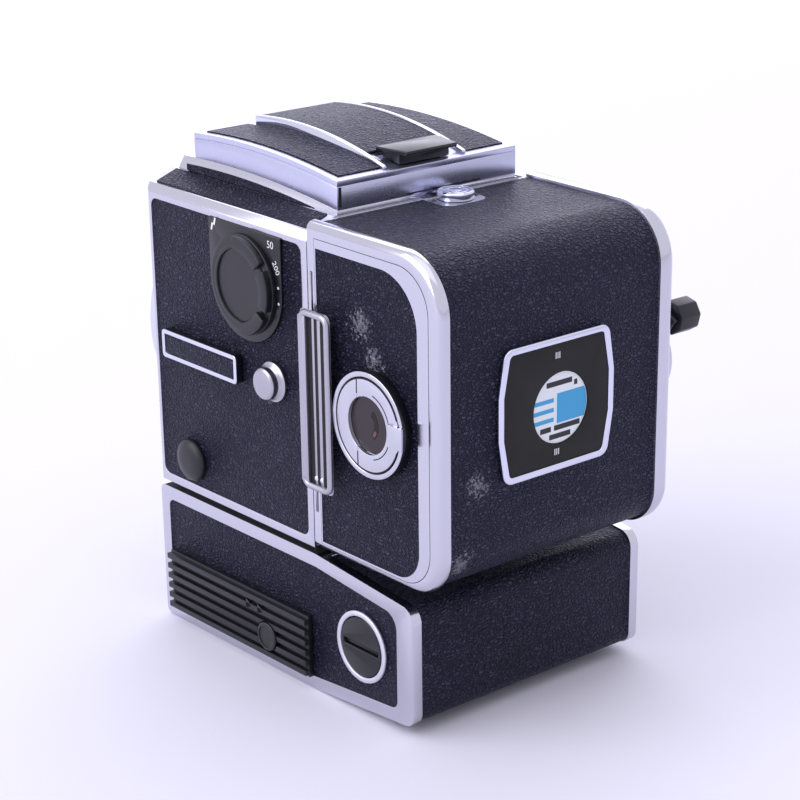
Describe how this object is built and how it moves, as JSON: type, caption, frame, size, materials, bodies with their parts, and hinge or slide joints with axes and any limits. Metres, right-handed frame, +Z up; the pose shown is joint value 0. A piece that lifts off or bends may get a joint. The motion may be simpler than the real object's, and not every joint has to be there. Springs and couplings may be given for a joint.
{
  "type": "medium format film camera",
  "caption": "Box-shaped film camera body with folding waist-level hood, motor base, empty bayonet lens mount and a film magazine with pull-out insert and dark slide.",
  "frame": {"origin": "Mouth of the small tripod socket in the underside of the base, on the surface that the camera stands on.", "axes": "+X is the camera's own left side, +Y its rear (film side) and +Z up; the lens looks along -Y."},
  "size_m": [0.1104, 0.1419, 0.157],
  "materials": {
    "satin_chrome": "satin chrome plate",
    "bright_chrome": "polished",
    "satin_aluminium": "satin",
    "black_leather": "grained",
    "black_paint": "satin",
    "black_plastic": "matt",
    "steel": "brushed",
    "front_mirror": "polished",
    "ground_glass": "ground",
    "clear_glass": "polished",
    "brass": "machined",
    "green_board": "gloss",
    "cell_sleeve": "gloss",
    "printed_plate": "matt"
  },
  "bodies": {
    "camera": {"body_shell": "satin_chrome", "left_leather": "black_leather", "right_leather": "black_leather", "front_leather": "black_leather", "shoulder_leathers": "black_leather", "mount_ring": "bright_chrome", "hinge_pins": "steel", "focusing_screen": "ground_glass", "hood_frame": "satin_aluminium", "strap_lugs": "bright_chrome", "accessory_rail": "bright_chrome", "dial_plate": "black_paint", "base_shell": "satin_chrome", "base_side_leathers": "black_leather", "base_end_leathers": "black_leather", "battery_cells": "cell_sleeve", "coin_cap_ring": "satin_chrome", "drive_motor": "steel", "circuit_board": "green_board", "tripod_plate": "steel"},
    "lens_catch": {"lens_catch_button": "bright_chrome"},
    "mirror": {"mirror": "front_mirror"},
    "upper_flap": {"upper_flap": "black_paint"},
    "lower_flap": {"lower_flap": "black_paint"},
    "lid": {"hood_lid": "satin_aluminium", "lid_leather": "black_leather", "lid_ribs": "bright_chrome"},
    "latch": {"lid_latch": "black_paint"},
    "left_shade": {"left_shade": "black_paint"},
    "right_shade": {"right_shade": "black_paint"},
    "rear_shade": {"rear_shade": "black_paint"},
    "magnifier": {"magnifier_arm": "black_paint", "magnifier_lens": "clear_glass"},
    "dial": {"dial_knob": "black_plastic"},
    "plug": {"contact_plug": "black_plastic"},
    "door": {"battery_door": "black_plastic"},
    "door_lock": {"door_lock_button": "black_plastic"},
    "cap": {"coin_cap": "black_plastic"},
    "drive_gear": {"drive_gear": "brass"},
    "motor_pinion": {"motor_pinion": "brass"},
    "selector": {"mode_selector": "black_plastic"},
    "release": {"release_button": "bright_chrome"},
    "magazine": {"magazine_shell": "black_paint", "magazine_wrap_leather": "black_leather", "magazine_left_frame": "satin_chrome", "magazine_right_frame": "satin_chrome", "memo_frame": "bright_chrome", "memo_plate": "printed_plate"},
    "magazine_release": {"magazine_release_button": "bright_chrome"},
    "insert": {"insert_side_plate": "satin_chrome", "insert_leather": "black_leather", "insert_frame": "black_paint", "insert_lock_ring": "bright_chrome"},
    "dark_slide": {"dark_slide": "steel"},
    "key": {"insert_key": "satin_chrome"},
    "key_handle": {"key_handle": "bright_chrome"},
    "crank": {"crank_disc": "satin_chrome"},
    "crank_handle": {"crank_handle": "black_plastic"},
    "feed_spool": {"feed_spool": "black_plastic"},
    "take_up_spool": {"take_up_spool": "black_plastic"}
  },
  "joints": [
    {"name": "lens_catch_press", "type": "slide", "parent": "camera", "child": "lens_catch", "axis": [0, 1, 0], "range_m": [0, 0.0015], "stiffness_N_per_m": 800, "springref_m": -0.0005},
    {"name": "mirror_lift", "type": "hinge", "parent": "camera", "child": "mirror", "pos_m": [0, 0.02995, 0.129], "axis": [-1, 0, 0], "range_deg": [0, 45]},
    {"name": "upper_flap_lift", "type": "hinge", "parent": "camera", "child": "upper_flap", "pos_m": [0, 0.03235, 0.123], "axis": [-1, 0, 0], "range_deg": [0, 90]},
    {"name": "lower_flap_drop", "type": "hinge", "parent": "camera", "child": "lower_flap", "pos_m": [0, 0.03235, 0.061], "axis": [1, 0, 0], "range_deg": [0, 90]},
    {"name": "lid_open", "type": "hinge", "parent": "camera", "child": "lid", "pos_m": [0, -0.0278, 0.149], "axis": [1, 0, 0], "range_deg": [0, 100]},
    {"name": "latch_lift", "type": "hinge", "parent": "lid", "child": "latch", "pos_m": [0, 0.02855, 0.15415], "axis": [1, 0, 0], "range_deg": [0, 20], "stiffness_Nm_per_rad": 0.2, "springref_deg": -5.73},
    {"name": "left_shade_open", "type": "hinge", "parent": "camera", "child": "left_shade", "pos_m": [0.0305, 0, 0.1452], "axis": [0, 1, 0], "range_deg": [0, 90]},
    {"name": "right_shade_open", "type": "hinge", "parent": "camera", "child": "right_shade", "pos_m": [-0.0305, 0, 0.1452], "axis": [0, -1, 0], "range_deg": [0, 90]},
    {"name": "rear_shade_open", "type": "hinge", "parent": "camera", "child": "rear_shade", "pos_m": [0, 0.03595, 0.147], "axis": [-1, 0, 0], "range_deg": [0, 90]},
    {"name": "magnifier_swing", "type": "hinge", "parent": "lid", "child": "magnifier", "pos_m": [0, 0, 0.149], "axis": [1, 0, 0], "range_deg": [-100, 0]},
    {"name": "dial_turn", "type": "hinge", "parent": "camera", "child": "dial", "pos_m": [0.044, 0.0103, 0.1173], "axis": [1, 0, 0], "range_deg": [0, 270]},
    {"name": "plug_pull", "type": "slide", "parent": "camera", "child": "plug", "axis": [1, 0, 0], "range_m": [0, 0.012]},
    {"name": "door_slide", "type": "slide", "parent": "camera", "child": "door", "axis": [0, -1, 0], "range_m": [0, 0.012]},
    {"name": "door_lock_press", "type": "slide", "parent": "door", "child": "door_lock", "axis": [-1, 0, 0], "range_m": [0, 0.0008], "stiffness_N_per_m": 500, "springref_m": -0.0005},
    {"name": "coin_cap_turn", "type": "hinge", "parent": "camera", "child": "cap", "pos_m": [0.044, 0.059, 0.0212], "axis": [1, 0, 0], "range_deg": [0, 90]},
    {"name": "drive_gear_spin", "type": "hinge", "parent": "camera", "child": "drive_gear", "pos_m": [-0.039, 0.0382, 0.02191], "axis": [1, 0, 0], "continuous": true},
    {"name": "motor_pinion_spin", "type": "hinge", "parent": "camera", "child": "motor_pinion", "pos_m": [-0.039, 0.059, 0.01899], "axis": [1, 0, 0], "continuous": true},
    {"name": "selector_turn", "type": "hinge", "parent": "camera", "child": "selector", "pos_m": [-0.044, -0.01, 0.021], "axis": [1, 0, 0], "range_deg": [0, 120]},
    {"name": "release_press", "type": "slide", "parent": "camera", "child": "release", "axis": [0, 1, 0], "range_m": [0, 0.002], "stiffness_N_per_m": 600, "springref_m": -0.0005},
    {"name": "magazine_slide", "type": "slide", "parent": "camera", "child": "magazine", "axis": [0, 1, 0], "range_m": [0, 0.04]},
    {"name": "magazine_release_slide", "type": "slide", "parent": "magazine", "child": "magazine_release", "axis": [-1, 0, 0], "range_m": [0, 0.005], "stiffness_N_per_m": 400, "springref_m": -0.0005},
    {"name": "insert_slide", "type": "slide", "parent": "magazine", "child": "insert", "axis": [1, 0, 0], "range_m": [0, 0.1]},
    {"name": "dark_slide_pull", "type": "slide", "parent": "insert", "child": "dark_slide", "axis": [1, 0, 0], "range_m": [0, 0.078]},
    {"name": "key_turn", "type": "hinge", "parent": "insert", "child": "key", "pos_m": [0.045, 0.0665, 0.0903], "axis": [1, 0, 0], "range_deg": [0, 90]},
    {"name": "key_handle_fold", "type": "hinge", "parent": "key", "child": "key_handle", "pos_m": [0.0468, 0.0624, 0.0903], "axis": [0, 0, -1], "range_deg": [0, 90]},
    {"name": "crank_turn", "type": "hinge", "parent": "magazine", "child": "crank", "pos_m": [-0.044, 0.0755, 0.093], "axis": [1, 0, 0], "continuous": true},
    {"name": "crank_handle_fold", "type": "hinge", "parent": "crank", "child": "crank_handle", "pos_m": [-0.04965, 0.0736, 0.09043], "axis": [0, -0.8039, 0.5948], "range_deg": [0, 90]},
    {"name": "feed_spool_turn", "type": "hinge", "parent": "insert", "child": "feed_spool", "pos_m": [0, 0.07, 0.065], "axis": [1, 0, 0], "continuous": true},
    {"name": "take_up_spool_turn", "type": "hinge", "parent": "insert", "child": "take_up_spool", "pos_m": [0, 0.07, 0.118], "axis": [1, 0, 0], "continuous": true}
  ],
  "couplings": [
    {"joint": "upper_flap_lift", "follows": "mirror_lift", "ratio": 2},
    {"joint": "lower_flap_drop", "follows": "mirror_lift", "ratio": 2},
    {"joint": "left_shade_open", "follows": "lid_open", "ratio": 0.9},
    {"joint": "right_shade_open", "follows": "lid_open", "ratio": 0.9},
    {"joint": "rear_shade_open", "follows": "lid_open", "ratio": 0.9},
    {"joint": "magnifier_swing", "follows": "lid_open", "ratio": -1},
    {"joint": "motor_pinion_spin", "follows": "drive_gear_spin", "ratio": -2.5},
    {"joint": "feed_spool_turn", "follows": "crank_turn", "ratio": 1},
    {"joint": "take_up_spool_turn", "follows": "crank_turn", "ratio": 1}
  ]
}
